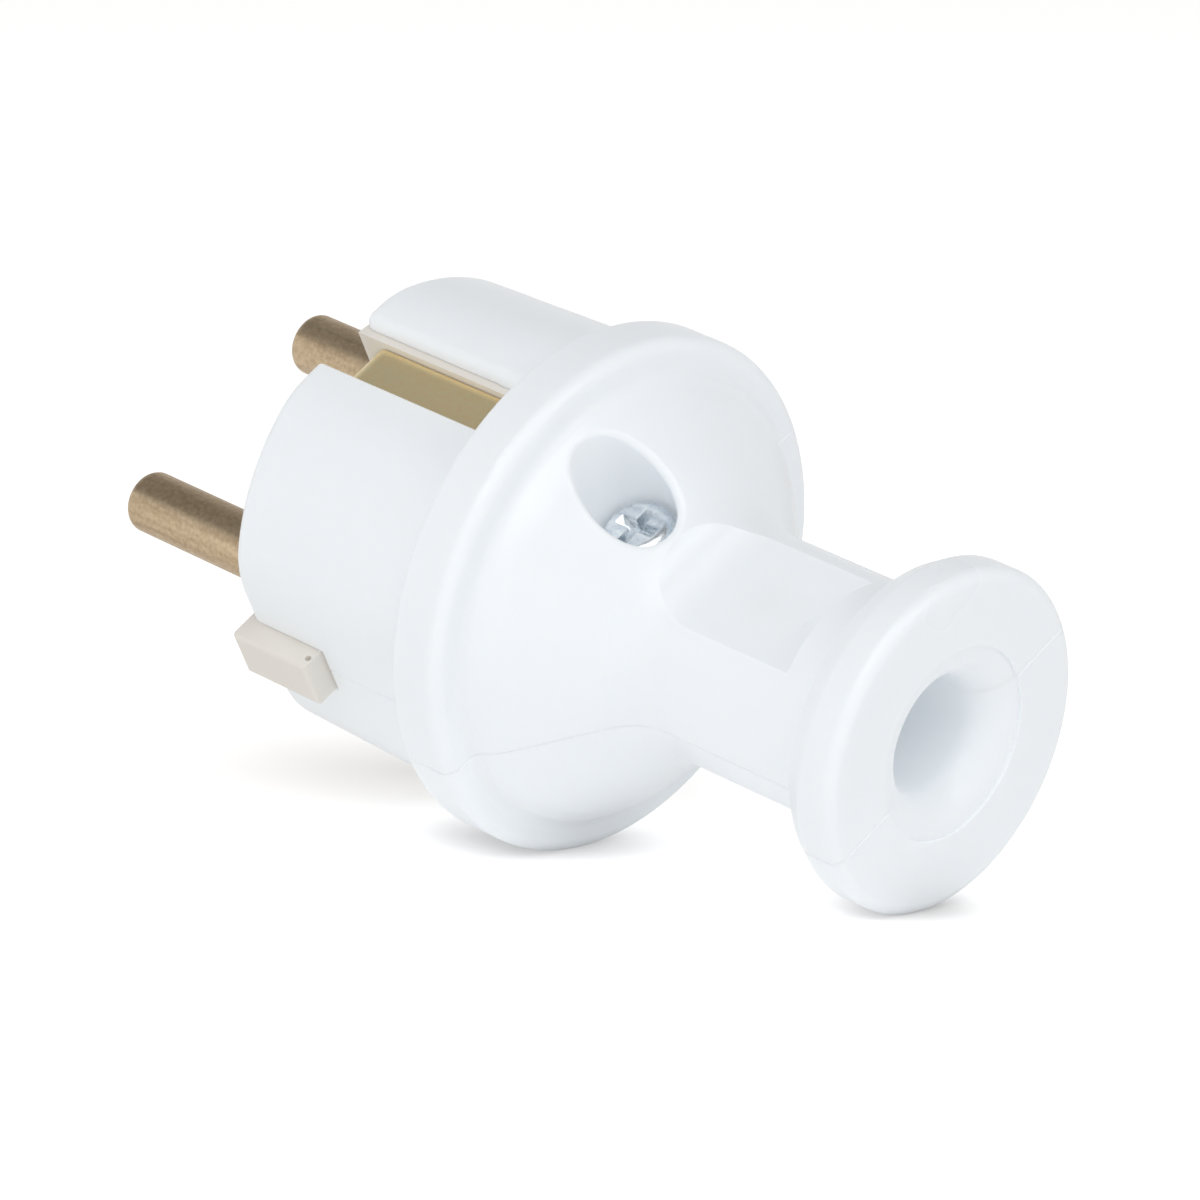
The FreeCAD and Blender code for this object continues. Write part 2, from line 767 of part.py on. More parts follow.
fillet(carrier, "lug_edges", lug_corners, S.lug_round)
sk = new_sketch(carrier, "tongue_side", "YZ_Plane")
tongue_top = S.strip_end - S.strip_thick
outline(sk, [
    (S.tongue_inner, S.carrier_length - 1),
    (strip_inner, S.carrier_length - 1),
    (strip_inner, tongue_top),
    (S.tongue_inner, tongue_top),
])
outline(sk, [
    (-strip_inner, S.carrier_length - 1),
    (-S.tongue_inner, S.carrier_length - 1),
    (-S.tongue_inner, tongue_top),
    (-strip_inner, tongue_top),
])
pad(carrier, sk, "tongues", 2 * S.tongue_half_width, middle=True)
sk = new_sketch(carrier, "rail_side", "YZ_Plane")
outline(sk, [
    (S.tongue_inner, S.carrier_length - 1),
    (S.rail_half, S.carrier_length - 1),
    (S.rail_half, tongue_top),
    (S.tongue_inner, tongue_top),
])
outline(sk, [
    (-S.rail_half, S.carrier_length - 1),
    (-S.tongue_inner, S.carrier_length - 1),
    (-S.tongue_inner, tongue_top),
    (-S.rail_half, tongue_top),
])
pad(carrier, sk, "rails", S.notch_width - 2 * S.fit_gap, middle=True)

# the strip lies in a groove on each side, with a rail along one edge and a narrow gap along the other;
# its nose dips over the front edge
nose_dv = S.strip_half - S.nose_half
nose_dz = S.nose_rise - S.nose_start
nose_len = math.hypot(nose_dv.value, nose_dz.value)
nose_in_v = S.nose_half - S.strip_thick * (nose_dz.value / nose_len)
nose_in_z = S.nose_start + S.strip_thick * (nose_dv.value / nose_len)
nose_slope = nose_dz / nose_dv
nose_knee = nose_in_z + (strip_inner - nose_in_v) * nose_slope
groove_out_v = nose_in_v - (nose_in_z + 1) / nose_slope
sk = new_sketch(carrier, "strip_groove", "YZ_Plane")
outline(sk, [
    (groove_out_v, -1),
    (S.flange_radius, -1),
    (S.flange_radius, S.strip_end),
    (strip_inner, S.strip_end),
    (strip_inner, nose_knee),
])
outline(sk, [
    (-S.flange_radius, -1),
    (-groove_out_v, -1),
    (-strip_inner, nose_knee),
    (-strip_inner, S.strip_end),
    (-S.flange_radius, S.strip_end),
])
pocket(carrier, sk, "grooves", S.strip_width + 2 * S.fit_gap, middle=True)
gaps = []
for side in (-1, 1):
    tag = "a" if side < 0 else "b"
    low_side = strip_inner if side > 0 else -S.flange_radius
    gaps.append(block("edge_gap_" + tag, (-S.notch_width / 2, low_side, -S.spare),
                      (S.notch_width / 2, S.flange_radius - strip_inner, tongue_top + S.spare)))
sk = new_sketch(carrier, "pin_holes", "XY_Plane")
circle(sk, S.pin_pitch / 2, 0, S.stem_radius + S.thread_gap)
circle(sk, -S.pin_pitch / 2, 0, S.stem_radius + S.thread_gap)
pocket(carrier, sk, "pin_ways", 4 * S.carrier_length, middle=True)

# the carrier is a cup: open behind its front plate, with a tower round each pin and a bed for the strip
cup_round = cylinder("cup_round", carrier_radius - S.carrier_wall, S.carrier_length, (0, 0, S.carrier_plate), (0, 0, 1))
cup_half = carrier_flat - S.carrier_wall
cup_block = block("cup_block", (-cup_half, -S.flange_radius, 0), (2 * cup_half, 2 * S.flange_radius, 2 * S.strip_end))
cup_way = doc.addObject("Part::MultiCommon", "cup_way")
cup_way.Shapes = [cup_round, cup_block]
cup_stays = []
for side in (-1, 1):
    tag = "a" if side < 0 else "b"
    cup_stays.append(cylinder("tower_" + tag, S.tower_radius, S.carrier_length, (side * S.pin_pitch / 2, 0, 0),
                              (0, 0, 1)))
    near_side = strip_inner - S.bed_depth if side > 0 else -S.flange_radius
    cup_stays.append(block("bed_" + tag, (-S.bed_half_width, near_side, 0),
                           (2 * S.bed_half_width, S.flange_radius - strip_inner + S.bed_depth, S.strip_end)))
cup_stays.append(block("tongue_keep", (-S.tongue_half_width, -S.flange_radius, S.carrier_length - 1),
                       (2 * S.tongue_half_width, 2 * S.flange_radius, S.strip_end)))
pits = []
for side in (-1, 1):
    tag = "a" if side < 0 else "b"
    spot = (side * (S.lug_reach + S.flat_half) / 2, S.lug_width / 2 - S.pit_depth, S.pit_place)
    pits.append(cylinder("pit_" + tag, S.pit_radius, S.pit_depth + 1, spot, (0, 1, 0)))
cup_hollow = cut("cup_hollow", cup_way, fuse("cup_stays", cup_stays))
carrier_done = cut("carrier_done", carrier, fuse("carrier_ways", pits + gaps + [cup_hollow]))


def make_pin(name):
    # Pin drawn from brass tube with a closed tip: the contact, a slimmer stem through the carrier, and
    # the terminal barrel behind it.
    b = new_body(name)
    sk = new_sketch(b, name + "_profile", "XZ_Plane")
    outline(sk, [
        (0, -S.pin_length),
        (S.pin_radius, -S.pin_length),
        (S.pin_radius, 0),
        (S.stem_radius, 0),
        (S.stem_radius, S.carrier_length),
        (S.barrel_radius, S.carrier_length),
        (S.barrel_radius, S.carrier_length + S.barrel_length),
        (0, S.carrier_length + S.barrel_length),
    ])
    spin(b, sk, name + "_turn", 360.0)
    fillet(b, name + "_nose", lambda s: ring_edges(s, S.pin_radius.value, -S.pin_length.value), S.pin_tip_round)
    sk = new_sketch(b, name + "_wire", "XZ_Plane")
    outline(sk, [
        (0, S.pin_tip_wall - S.pin_length),
        (S.tip_bore_radius, S.pin_tip_wall - S.pin_length),
        (S.tip_bore_radius, S.bore_step),
        (S.bore_radius, S.bore_step),
        (S.bore_radius, S.carrier_length + S.barrel_length + 1),
        (0, S.carrier_length + S.barrel_length + 1),
    ])
    g = b.newObject("PartDesign::Groove", name + "_wire_way")
    g.Profile = sk
    g.ReferenceAxis = (sk, ["V_Axis"])
    g.Angle = 360.0
    sk = new_sketch(b, name + "_thread", "XZ_Plane")
    circle(sk, 0, S.terminal_place, S.screw_radius + S.thread_gap)
    pocket(b, sk, name + "_thread_way", 2 * S.barrel_radius, reverse=False)
    return b


pin_1 = make_pin("pin_1")
pin_2 = make_pin("pin_2")


def slotted(name, radius, shank, head_r, head_h):
    # Slotted cheese-head screw standing on its tip along Z, head on top.
    b = new_body(name)
    total = shank + head_h
    sk = new_sketch(b, name + "_profile", "XZ_Plane")
    outline(sk, [(0, 0), (radius, 0), (radius, shank), (head_r, shank), (head_r, total), (0, total)])
    spin(b, sk, name + "_turn", 360.0)
    sk = new_sketch(b, name + "_slot", "XZ_Plane")
    outline(sk, [
        (-S.slot_width / 2, total - S.slot_depth),
        (S.slot_width / 2, total - S.slot_depth),
        (S.slot_width / 2, total + 1),
        (-S.slot_width / 2, total + 1),
    ])
    pocket(b, sk, name + "_slot_way", 3 * head_r, middle=True)
    return b


terminal_tip = 0.4
terminal_shank = S.barrel_radius + S.terminal_lift - terminal_tip
terminal_screw_1 = slotted("terminal_screw_1", S.screw_radius, terminal_shank, S.terminal_head_radius,
                           S.terminal_head_height)
terminal_screw_2 = slotted("terminal_screw_2", S.screw_radius, terminal_shank, S.terminal_head_radius,
                           S.terminal_head_height)

# Earth strip: brass, bent to a U round the carrier, both noses turned in.
strip = new_body("earth_strip")
sk = new_sketch(strip, "strip_side", "YZ_Plane")
outline(sk, [
    (S.nose_half, S.nose_start),
    (S.strip_half, S.nose_rise),
    (S.strip_half, S.strip_end),
    (-S.strip_half, S.strip_end),
    (-S.strip_half, S.nose_rise),
    (-S.nose_half, S.nose_start),
    (-nose_in_v, nose_in_z),
    (-strip_inner, nose_knee),
    (-strip_inner, tongue_top),
    (strip_inner, tongue_top),
    (strip_inner, nose_knee),
    (nose_in_v, nose_in_z),
])
pad(strip, sk, "strip_bend", S.strip_width, middle=True)
sk = new_sketch(strip, "strip_eye", "XY_Plane")
circle(sk, 0, 0, S.screw_radius + S.thread_gap)
pocket(strip, sk, "strip_eye_way", 4 * S.strip_end, middle=True)


def bends(s):
    out = []
    for i, e in enumerate(s.Edges, 1):
        b = e.BoundBox
        if b.XMax - b.XMin > 1.0 and near(b.ZMin, b.ZMax) and near(b.ZMin, S.strip_end.value):
            if near(abs(b.YMin), S.strip_half.value):
                out.append("Edge%d" % i)
    return out


def noses(s):
    out = []
    for i, e in enumerate(s.Edges, 1):
        b = e.BoundBox
        if b.XLength > 1.0 and near(abs(b.YMin), S.strip_half.value) and near(b.ZMax, S.nose_rise.value):
            out.append("Edge%d" % i)
    return out


fillet(strip, "strip_corner", bends, 0.8 * S.strip_thick)
fillet(strip, "nose_corner", noses, S.nose_bend)

# Saddle washer that clamps the earth wire on the strip, and its screw.
washer_b = block("washer_plate", (-S.washer_width / 2, -S.washer_length / 2, S.strip_end),
                 (S.washer_width, S.washer_length, S.washer_thick))
washer_h = cylinder("washer_hole", S.screw_radius + S.fit_gap, S.washer_thick + 2,
                    (0, 0, S.strip_end - 1), (0, 0, 1))
earth_washer = cut("earth_washer", washer_b, washer_h)
earth_long = S.earth_shank + S.washer_thick
earth_screw = slotted("earth_screw", S.screw_radius, earth_long, S.earth_head_radius, S.earth_head_height)

# Cord clamp: a flat moulded bar with a ridge that bites the cord, held by two small screws.
clamp = new_body("cord_clamp")
sk = new_sketch(clamp, "clamp_plan", "XY_Plane")
outline(sk, [
    (-S.clamp_length / 2, -S.clamp_width / 2),
    (S.clamp_length / 2, -S.clamp_width / 2),
    (S.clamp_length / 2, S.clamp_width / 2),
    (-S.clamp_length / 2, S.clamp_width / 2),
])
pad(clamp, sk, "clamp_plate", S.clamp_thick)


def upright(s):
    return ["Edge%d" % i for i, e in enumerate(s.Edges, 1) if e.BoundBox.ZLength > 0.5]


fillet(clamp, "clamp_ends", upright, 1.2)
sk = new_sketch(clamp, "clamp_bite", "XZ_Plane")
outline(sk, [(-S.bite_width / 2, 0.1), (-S.bite_width / 4, -S.bite_height), (S.bite_width / 4, -S.bite_height),
             (S.bite_width / 2, 0.1)])
pad(clamp, sk, "clamp_ridge", S.clamp_width, middle=True)
sk = new_sketch(clamp, "clamp_holes", "XY_Plane")
circle(sk, S.clamp_pitch / 2, 0, S.clamp_screw_radius + S.fit_gap)
circle(sk, -S.clamp_pitch / 2, 0, S.clamp_screw_radius + S.fit_gap)
pocket(clamp, sk, "clamp_ways", 4 * S.clamp_thick, middle=True)
clamp_shank = S.clamp_grip + S.clamp_thick
clamp_screw_1 = slotted("clamp_screw_1", S.clamp_screw_radius, clamp_shank, S.clamp_head_radius,
                        S.clamp_head_height)
clamp_screw_2 = slotted("clamp_screw_2", S.clamp_screw_radius, clamp_shank, S.clamp_head_radius,
                        S.clamp_head_height)

# Housing screw: pan head with a cross recess; and its hexagon nut.
bolt = new_body("housing_screw")
sk = new_sketch(bolt, "bolt_profile", "XZ_Plane")
bolt_top = S.shank_length + S.head_height
outline(sk, [
    (0, 0),
    (S.screw_radius, 0),
    (S.screw_radius, S.shank_length),
    (S.head_radius, S.shank_length),
    (S.head_radius, bolt_top),
    (0, bolt_top),
])
spin(bolt, sk, "bolt_turn", 360.0)
fillet(bolt, "bolt_head_round", lambda s: ring_edges(s, S.head_radius.value, bolt_top.value), S.head_round)
for side, role in (("a", "XZ_Plane"), ("b", "YZ_Plane")):
    sk = new_sketch(bolt, "cross_" + side, role)
    outline(sk, [
        (-S.cross_foot / 2, bolt_top - S.cross_depth),
        (S.cross_foot / 2, bolt_top - S.cross_depth),
        (S.cross_span / 2, bolt_top),
        (S.cross_span / 2, bolt_top + 1),
        (-S.cross_span / 2, bolt_top + 1),
        (-S.cross_span / 2, bolt_top),
    ])
    pocket(bolt, sk, "cross_way_" + side, S.cross_width, middle=True)

nut_body = doc.addObject("Part::Prism", "nut_body")
nut_body.Polygon = 6
bind(nut_body, "Circumradius", S.nut_flat / math.sqrt(3.0))
bind(nut_body, "Height", S.nut_height)
nut_hole = cylinder("nut_hole", S.screw_radius + S.thread_gap, S.nut_height + 2, (0, 0, -1), (0, 0, 1))
housing_nut = cut("housing_nut", nut_body, nut_hole)

doc.recompute()


def local(x, y, z, axis):
    # placement inside the plug frame: own Z turned to the given axis
    rot = FreeCAD.Rotation(FreeCAD.Vector(0, 0, 1), FreeCAD.Vector(*axis))
    return FreeCAD.Placement(FreeCAD.Vector(x, y, z), rot)


half = S.pin_pitch.value / 2
clamp_half = S.clamp_pitch.value / 2
clamp_foot = -S.clamp_seat.value - S.clamp_grip.value
clamp_at = S.clamp_place.value
here = local(0, 0, 0, (0, 0, 1))
up = (0, 1, 0)
PIECES = [
    ("upper_shell", upper_shell, here),
    ("lower_shell", lower_shell, here),
    ("pin_carrier", carrier_done, here),
    ("pin_1", pin_1, local(-half, 0, 0, (0, 0, 1))),
    ("pin_2", pin_2, local(half, 0, 0, (0, 0, 1))),
    ("terminal_screw_1", terminal_screw_1, local(-half, terminal_tip, S.terminal_place.value, up)),
    ("terminal_screw_2", terminal_screw_2, local(half, terminal_tip, S.terminal_place.value, up)),
    ("earth_strip", strip, here),
    ("earth_washer", earth_washer, here),
    ("earth_screw", earth_screw, local(0, 0, S.strip_end.value - S.earth_shank.value, (0, 0, 1))),
    ("cord_clamp", clamp, local(0, -S.clamp_seat.value, clamp_at, up)),
    ("clamp_screw_1", clamp_screw_1, local(-clamp_half, clamp_foot, clamp_at, up)),
    ("clamp_screw_2", clamp_screw_2, local(clamp_half, clamp_foot, clamp_at, up)),
    ("housing_screw", bolt, local(0, S.seat_height.value - S.shank_length.value, S.post_place.value, up)),
    ("housing_nut", housing_nut, local(0, -S.nut_seat.value - S.nut_height.value, S.post_place.value, up)),
]

# the floor under the lowest point, the plug centred over the origin
box = FreeCAD.BoundBox()
for name, obj, spot in PIECES:
    obj.Label = name
    obj.Placement = pose.multiply(spot)
doc.recompute()
for name, obj, spot in PIECES:
    box.add(obj.Shape.optimalBoundingBox(False) if hasattr(obj.Shape, "optimalBoundingBox") else obj.Shape.BoundBox)
shift = FreeCAD.Placement(FreeCAD.Vector(-box.Center.x, -box.Center.y, -box.ZMin), FreeCAD.Rotation())
for name, obj, spot in PIECES:
    obj.Placement = shift.multiply(pose.multiply(spot))
doc.recompute()

bad = []
for o in doc.Objects:
    if "Invalid" in o.State or "Error" in o.State:
        bad.append(o.Name)
for name, obj, spot in PIECES:
    if obj.Shape.isNull() or not obj.Shape.isValid():
        bad.append(name)
    if len(obj.Shape.Solids) != 1:
        bad.append(name + " solids %d" % len(obj.Shape.Solids))
if bad:
    raise RuntimeError("faulty objects: " + ", ".join(bad))

os.makedirs("parts", exist_ok=True)
for name, obj, spot in PIECES:
    obj.Shape.exportStep("parts/" + name + ".step")
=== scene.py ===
import bpy
import json
from mathutils import Matrix, Vector

# The plug.  A round earthed mains plug that lies on the rims of its flange and its handle.  Every piece
# is in the frame.  The plug's own axes are read from its mounts: the engagement face, the side of the
# earth strip and, from both, the line of the pins.
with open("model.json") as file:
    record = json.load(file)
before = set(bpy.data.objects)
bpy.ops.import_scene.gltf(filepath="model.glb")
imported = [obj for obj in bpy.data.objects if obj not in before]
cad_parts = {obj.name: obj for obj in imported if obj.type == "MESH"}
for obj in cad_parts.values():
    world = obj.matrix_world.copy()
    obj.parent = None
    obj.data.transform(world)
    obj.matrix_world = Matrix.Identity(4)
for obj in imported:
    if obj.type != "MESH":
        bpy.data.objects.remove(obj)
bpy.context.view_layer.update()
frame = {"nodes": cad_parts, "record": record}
mm = 0.001
mounts = {mount["name"]: mount for mount in frame["record"]["mounts"]}
face_centre = Vector(mounts["engagement_face"]["pos_m"])
to_handle = -Vector(mounts["engagement_face"]["axis"])
to_strip = Vector(mounts["earth_contact_upper"]["axis"])
along_pins = to_strip.cross(to_handle)
plug_axes = Matrix((along_pins, to_strip, to_handle)).transposed().to_4x4()
plug_frame = Matrix.Translation(face_centre) @ plug_axes

# Camera.  A long lens stands off the handle's corner and looks about ten degrees down, as in the
# photograph.  Its place and the directions to its right and up are given in the plug's own axes.
camera_place = Vector((-198.25, 323.10, 311.10)) * mm
camera_right = Vector((0.63862, -0.25962, 0.72441))
camera_up = Vector((0.64888, 0.68772, -0.32556))
camera_back = camera_right.cross(camera_up)
camera_data = bpy.data.cameras.new("camera")
camera_data.sensor_width = 36.0
camera_data.lens = 195.3
camera_data.clip_start = 10 * mm
camera = bpy.data.objects.new("camera", camera_data)
camera_turn = Matrix((camera_right, camera_up, camera_back)).transposed().to_4x4()
camera.matrix_world = plug_frame @ Matrix.Translation(camera_place) @ camera_turn
bpy.context.scene.collection.objects.link(camera)
bpy.context.scene.camera = camera

# Floor.  A seamless white studio table, lit until it is almost pure white, that sends only a little of
# its glow back under the plug.  Painted shade lies under the two rims and behind the body, in both the
# floor's colour and its glow; each spot has a centre and a reach on the floor, in millimetres, and a
# depth.
floor_side = 6.0
floor_tones = {"deep": (0.965, 0.96, 0.952, 1), "light": (0.975, 0.97, 0.962, 1)}
floor_cloud_scale = 3.0
floor_glow = 0.53
floor_bounce = 0.22
painted_shade_spots = (
    ((-4, 0), (15, 12), 1.0),
    ((31, 1), (10, 9), 1.0),
    ((-28, 13), (35, 25), 0.52),
)
painted_shade_tones = ((0.0, 1.0), (1.0, 0.48))


def add_node(tree, kind, inputs=None, **settings):
    """Add a node, make its settings, then give each input its value or a link from another node."""
    node = tree.nodes.new("ShaderNode" + kind)
    for setting, value in settings.items():
        setattr(node, setting, value)
    for socket, value in (inputs or {}).items():
        if isinstance(value, bpy.types.NodeSocket):
            tree.links.new(value, node.inputs[socket])
        else:
            node.inputs[socket].default_value = value
    return node


def blended(tree, share, first, second, blend="MIX"):
    """The second colour over the first, by the given share."""
    inputs = {"Factor": share, "A": first, "B": second}
    return add_node(tree, "Mix", inputs, data_type="RGBA", blend_type=blend).outputs["Result"]


def grey_ramp(tree, measure, steps, interpolation="LINEAR"):
    """Grey levels along a measure, given as pairs of place and level."""
    ramp = add_node(tree, "ValToRGB", {"Fac": measure})
    ramp.color_ramp.interpolation = interpolation
    marks = ramp.color_ramp.elements
    marks[1].position = 1.0
    for position, level in steps[1:-1]:
        marks.new(position)
    for mark, (position, level) in zip(marks, steps):
        mark.position = position
        mark.color = (level, level, level, 1)
    return ramp.outputs["Color"]


def painted_shade_on(tree, spots):
    """How deep the painted shade is at a place on the floor: the deepest of the spots."""
    place = add_node(tree, "TexCoord").outputs["Object"]
    shade = 0.0
    for centre, reach, depth in spots:
        spot_place = add_node(tree, "Mapping", {
            "Vector": place,
            "Location": (centre[0] * mm, centre[1] * mm, 0),
            "Scale": (reach[0] * mm, reach[1] * mm, mm),
        }, vector_type="TEXTURE").outputs["Vector"]
        round_spot = add_node(tree, "TexGradient", {"Vector": spot_place}, gradient_type="SPHERICAL")
        spot = add_node(tree, "Math", {0: round_spot.outputs["Fac"], 1: depth}, operation="MULTIPLY")
        shade = add_node(tree, "Math", {0: shade, 1: spot.outputs["Value"]},
                         operation="MAXIMUM").outputs["Value"]
    return shade


bpy.ops.mesh.primitive_plane_add(size=floor_side)
floor = bpy.context.object
floor.name = "floor"
floor_paint = bpy.data.materials.new("studio_floor")
floor_paint.use_nodes = True
floor_tree = floor_paint.node_tree
floor_shader = floor_tree.nodes["Principled BSDF"]
floor_shader.inputs["Roughness"].default_value = 0.9
floor_shader.inputs["Specular IOR Level"].default_value = 0.0
floor_shader.inputs["Emission Strength"].default_value = floor_glow
# Painted shade: the floor's colour is darkened in the spots.
painted_floor_shade = grey_ramp(floor_tree, painted_shade_on(floor_tree, painted_shade_spots), painted_shade_tones, "EASE")
floor_cloud = add_node(floor_tree, "TexNoise", {"Scale": floor_cloud_scale}).outputs["Fac"]
floor_white = blended(floor_tree, floor_cloud, floor_tones["deep"], floor_tones["light"])
floor_colour = blended(floor_tree, 1.0, floor_white, painted_floor_shade, "MULTIPLY")
floor_tree.links.new(floor_colour, floor_shader.inputs["Base Color"])
# The painted shade darkens the floor's glow as well.
seen_by_camera = add_node(floor_tree, "LightPath").outputs["Is Camera Ray"]
glow_share = add_node(floor_tree, "MapRange", {"Value": seen_by_camera, "To Min": floor_bounce})
floor_light = blended(floor_tree, 1.0, glow_share.outputs["Result"], painted_floor_shade, "MULTIPLY")
floor_tree.links.new(floor_light, floor_shader.inputs["Emission Color"])
floor.data.materials.append(floor_paint)

# Light.  A white tent, bright all round near the floor and duller half way up and overhead, and a little
# duller on the handle's side.  One wide soft box hangs high in front and a small one beyond the handle.
tent_strength = 1.10
tent_tones = ((0.0, 0.75), (0.24, 0.73), (0.42, 0.54), (0.66, 0.42), (0.84, 0.27), (1.0, 0.21))
pin_side, handle_side = 1.04, 0.84
soft_boxes = {
    "right_box": {"place": (0.95, 0.10, 0.55), "width": 0.35, "power": 1.0},
    "front_box": {"place": (0.33, -0.52, 0.66), "width": 0.85, "power": 3.4},
}
lit_height = 20 * mm

tent = bpy.data.worlds.new("studio")
bpy.context.scene.world = tent
tent.use_nodes = True
tent_tree = tent.node_tree
tent_light = tent_tree.nodes["Background"]
tent_light.inputs["Strength"].default_value = tent_strength
direction = add_node(tent_tree, "TexCoord").outputs["Generated"]
direction_parts = add_node(tent_tree, "SeparateXYZ", {"Vector": direction})
tent_by_height = grey_ramp(tent_tree, direction_parts.outputs["Z"], tent_tones)
tent_by_side = add_node(tent_tree, "MapRange", {
    "Value": direction_parts.outputs["X"],
    "From Min": -1.0,
    "To Min": pin_side,
    "To Max": handle_side,
}).outputs["Result"]
tent_colour = blended(tent_tree, 1.0, tent_by_height, tent_by_side, "MULTIPLY")
tent_tree.links.new(tent_colour, tent_light.inputs["Color"])
for name, box in soft_boxes.items():
    box_light = bpy.data.lights.new(name, "AREA")
    box_light.shape = "SQUARE"
    box_light.size = box["width"]
    box_light.energy = box["power"]
    soft_box = bpy.data.objects.new(name, box_light)
    soft_box.location = box["place"]
    to_plug = Vector((0, 0, lit_height)) - Vector(box["place"])
    soft_box.rotation_euler = to_plug.to_track_quat("-Z", "Y").to_euler()
    bpy.context.scene.collection.objects.link(soft_box)
bpy.context.scene.view_settings.view_transform = "Standard"


# Half shells.  Two white mouldings in a glossy thermoplastic, closed on the plane through the pins and
# held by the housing screw.  The mould leaves a faint unevenness in the gloss and a very slight ripple,
# and the thin walls let some light through.  The plastics also glow faintly, a painted light that
# brightens their shaded sides and hollows.
def finish_group(name, inputs, outputs):
    """A node group with named inputs, each with its kind and usual value, and named outputs."""
    group = bpy.data.node_groups.new(name, "ShaderNodeTree")
    for socket, (kind, usual) in inputs.items():
        made = group.interface.new_socket(socket, in_out="INPUT", socket_type="NodeSocket" + kind)
        made.default_value = usual
    for socket, kind in outputs.items():
        group.interface.new_socket(socket, in_out="OUTPUT", socket_type="NodeSocket" + kind)
    return group, group.nodes.new("NodeGroupInput").outputs, group.nodes.new("NodeGroupOutput").inputs


plain_white = (1, 1, 1, 1)
flow_scale, flow_detail = 60.0, 3.0
ripple_scale, ripple_detail, ripple_height = 900.0, 2.0, 0.05 * mm

moulded_finish, given, result = finish_group("moulded_finish", {
    "Light Tone": ("Color", plain_white),
    "Deep Tone": ("Color", plain_white),
    "Gloss Low": ("Float", 0.3),
    "Gloss High": ("Float", 0.4),
    "Ripple": ("Float", 0.1),
}, {"Color": "Color", "Roughness": "Float", "Normal": "Vector"})
place = add_node(moulded_finish, "TexCoord").outputs["Object"]
flow = add_node(moulded_finish, "TexNoise", {
    "Vector": place, "Scale": flow_scale, "Detail": flow_detail}).outputs["Fac"]
moulded_tone = blended(moulded_finish, flow, given["Light Tone"], given["Deep Tone"])
moulded_gloss = add_node(moulded_finish, "MapRange", {
    "Value": flow, "To Min": given["Gloss Low"], "To Max": given["Gloss High"]}).outputs["Result"]
mould_grain = add_node(moulded_finish, "TexNoise", {
    "Vector": place, "Scale": ripple_scale, "Detail": ripple_detail}).outputs["Fac"]
ripple = add_node(moulded_finish, "Bump", {
    "Height": mould_grain, "Strength": given["Ripple"], "Distance": ripple_height}).outputs["Normal"]
moulded_finish.links.new(moulded_tone, result["Color"])
moulded_finish.links.new(moulded_gloss, result["Roughness"])
moulded_finish.links.new(ripple, result["Normal"])


def finished_material(name, finish, values, socket_values):
    """A material whose shader has its own values and takes the outputs of a finish of the same name."""
    material = bpy.data.materials.new(name)
    material.use_nodes = True
    tree = material.node_tree
    shader = tree.nodes["Principled BSDF"]
    for socket, value in socket_values.items():
        shader.inputs[socket].default_value = value
    placed = add_node(tree, "Group", node_tree=finish)
    for socket, value in values.items():
        placed.inputs[socket].default_value = value
    for output in placed.outputs:
        if output.name in shader.inputs:
            tree.links.new(output, shader.inputs[output.name])
    return material, tree, shader, placed


def moulded_plastic(name, light_tone, deep_tone, gloss, ripple, light_inside, painted_glow):
    material, tree, shader, placed = finished_material(name, moulded_finish, {
        "Light Tone": light_tone,
        "Deep Tone": deep_tone,
        "Gloss Low": gloss[0],
        "Gloss High": gloss[1],
        "Ripple": ripple,
    }, {
        "IOR": 1.5,
        "Subsurface Weight": light_inside,
        "Subsurface Radius": (1.0 * mm, 1.1 * mm, 1.2 * mm),
        "Subsurface Scale": 1.0,
        # Painted light: the plastic glows faintly in its own tone.
        "Emission Color": light_tone,
        "Emission Strength": painted_glow,
    })
    tree.links.new(placed.outputs["Color"], shader.inputs["Base Color"])
    return material


def dress(material, *pieces):
    for piece in pieces:
        piece_materials = frame["nodes"][piece].data.materials
        piece_materials.clear()
        piece_materials.append(material)


# The shells glow faintly: painted light that brightens their shaded sides and the bore.
white_plastic = moulded_plastic("white_plastic", light_tone=(0.835, 0.866, 0.893, 1),
                                deep_tone=(0.815, 0.847, 0.877, 1), gloss=(0.24, 0.34), ripple=0.10,
                                light_inside=0.40, painted_glow=0.13)
dress(white_plastic, "upper_shell", "lower_shell")

# Pin carrier.  One cream moulding in a harder, less glossy plastic, clamped between the shells; its lugs
# stand out of the two flats.
# The carrier glows faintly too, a painted light.
cream_plastic = moulded_plastic("cream_plastic", light_tone=(0.80, 0.765, 0.71, 1),
                                deep_tone=(0.76, 0.725, 0.67, 1), gloss=(0.42, 0.52), ripple=0.15,
                                light_inside=0.1, painted_glow=0.06)
dress(cream_plastic, "pin_carrier")

# Pins.  Turned brass tubes with a closed tip; each goes through the carrier and ends in the barrel of its
# terminal.  Satin grain and fine scratches along the plug, with a painted dark reflection: brown bands,
# deepest in one band along one side, set by which way the surface faces.
scratch_size = (0.6 * mm, 0.6 * mm, 14 * mm)
metal_detail = 4.0
tone_span = (0.36, 0.64)
pit_strength, pit_depth = 0.35, 0.02 * mm
# Painted reflection: the fixed side the surfaces are turned to, and the brown bands' levels by how far.
painted_reflection_side = Vector((0.197, 0.385, 0.902))
painted_reflection_bands = ((0.0, 0.95), (0.30, 1.0), (0.47, 0.95), (0.62, 0.58), (0.70, 0.68), (0.90, 0.92))

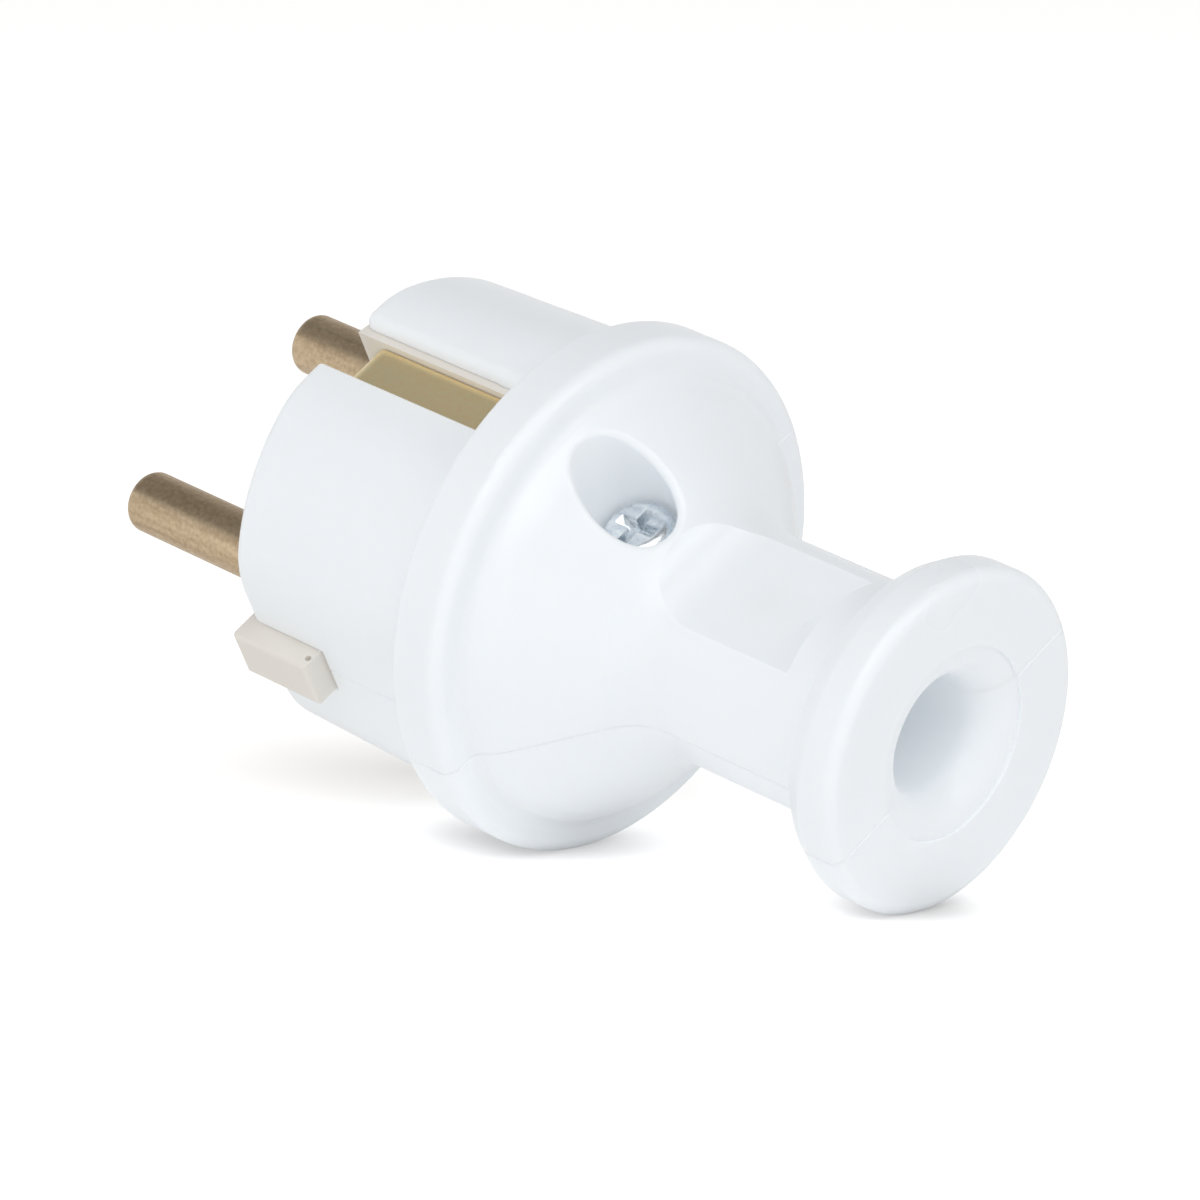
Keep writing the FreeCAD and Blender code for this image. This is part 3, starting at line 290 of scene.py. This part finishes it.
metal_finish, given, result = finish_group("metal_finish", {
    "Light Tone": ("Color", plain_white),
    "Deep Tone": ("Color", plain_white),
    "Smooth": ("Float", 0.3),
    "Dull": ("Float", 0.46),
    "Grain Scale": ("Float", 2000.0),
}, {"Color": "Color", "Roughness": "Float", "Pits": "Float"})
place = add_node(metal_finish, "TexCoord").outputs["Object"]
metal_grain = add_node(metal_finish, "TexNoise", {
    "Vector": place, "Scale": given["Grain Scale"], "Detail": metal_detail}).outputs["Fac"]
along_plug = add_node(metal_finish, "Mapping", {
    "Vector": place, "Rotation": plug_axes.to_euler(), "Scale": scratch_size,
}, vector_type="TEXTURE").outputs["Vector"]
scratches = add_node(metal_finish, "TexNoise", {
    "Vector": along_plug, "Scale": 1.0, "Detail": metal_detail}).outputs["Fac"]
half_scratches = add_node(metal_finish, "Math", {0: scratches, 1: 0.5}, operation="MULTIPLY")
mottle = add_node(metal_finish, "Math", {0: metal_grain, 1: 0.5, 2: half_scratches.outputs["Value"]},
                  operation="MULTIPLY_ADD").outputs["Value"]
tone_share = add_node(metal_finish, "MapRange", {
    "Value": mottle, "From Min": tone_span[0], "From Max": tone_span[1]}).outputs["Result"]
metal_tone = blended(metal_finish, tone_share, given["Deep Tone"], given["Light Tone"])
metal_gloss = add_node(metal_finish, "MapRange", {
    "Value": mottle, "To Min": given["Dull"], "To Max": given["Smooth"]}).outputs["Result"]
metal_finish.links.new(metal_tone, result["Color"])
metal_finish.links.new(metal_gloss, result["Roughness"])
metal_finish.links.new(mottle, result["Pits"])


def metal(name, light_tone, deep_tone, smooth, dull, grain_size, edge_round, painted_reflection=None):
    material, tree, shader, placed = finished_material(name, metal_finish, {
        "Light Tone": light_tone,
        "Deep Tone": deep_tone,
        "Smooth": smooth,
        "Dull": dull,
        "Grain Scale": 1 / grain_size,
    }, {"Metallic": 1.0})
    colour = placed.outputs["Color"]
    # A painted dark reflection, where given, darkens the colour in bands by which way the surface faces.
    if painted_reflection:
        colour = blended(tree, 1.0, colour, painted_reflection(tree), "MULTIPLY")
    tree.links.new(colour, shader.inputs["Base Color"])
    worn_edge = add_node(tree, "Bevel", {"Radius": edge_round}).outputs["Normal"]
    pitted = add_node(tree, "Bump", {
        "Normal": worn_edge,
        "Height": placed.outputs["Pits"],
        "Strength": pit_strength,
        "Distance": pit_depth,
    }).outputs["Normal"]
    tree.links.new(pitted, shader.inputs["Normal"])
    return material


def painted_pin_reflection(tree):
    """Painted dark reflection: brown bands that follow how far the surface is turned to one fixed side.
    """
    normal = add_node(tree, "NewGeometry").outputs["Normal"]
    facing = add_node(tree, "VectorMath", {0: normal, 1: painted_reflection_side}, operation="DOT_PRODUCT")
    turned = add_node(tree, "MapRange", {"Value": facing.outputs["Value"], "From Min": -1.0})
    return grey_ramp(tree, turned.outputs["Result"], painted_reflection_bands, "EASE")


pin_brass = metal("brass", light_tone=(0.80, 0.63, 0.43, 1), deep_tone=(0.54, 0.40, 0.25, 1),
                  smooth=0.30, dull=0.46, grain_size=0.35 * mm, edge_round=0.1 * mm,
                  painted_reflection=painted_pin_reflection)
dress(pin_brass, "pin_1", "pin_2")

# Earth strip and its washer.  Stamped and bent from bright sheet brass; the strip runs round the carrier
# and lies open in the two notches of the body.
strip_brass = metal("strip_brass", light_tone=(1.0, 0.88, 0.55, 1), deep_tone=(1.0, 0.80, 0.47, 1),
                    smooth=0.30, dull=0.46, grain_size=0.45 * mm, edge_round=0.2 * mm)
dress(strip_brass, "earth_strip", "earth_washer")

# Screws, nut and cord clamp.  Steel with a bluish zinc plating, spotted and a little duller in places.
# The housing screw and its nut hold the shells together; the others sit inside, on the terminals, the
# earth strip and the clamp.
zinc_steel = metal("zinc_steel", light_tone=(0.96, 0.985, 1.0, 1), deep_tone=(0.60, 0.66, 0.72, 1),
                   smooth=0.18, dull=0.36, grain_size=0.8 * mm, edge_round=0.15 * mm)
dress(zinc_steel, "housing_screw", "housing_nut", "terminal_screw_1", "terminal_screw_2",
      "earth_screw", "clamp_screw_1", "clamp_screw_2", "cord_clamp")
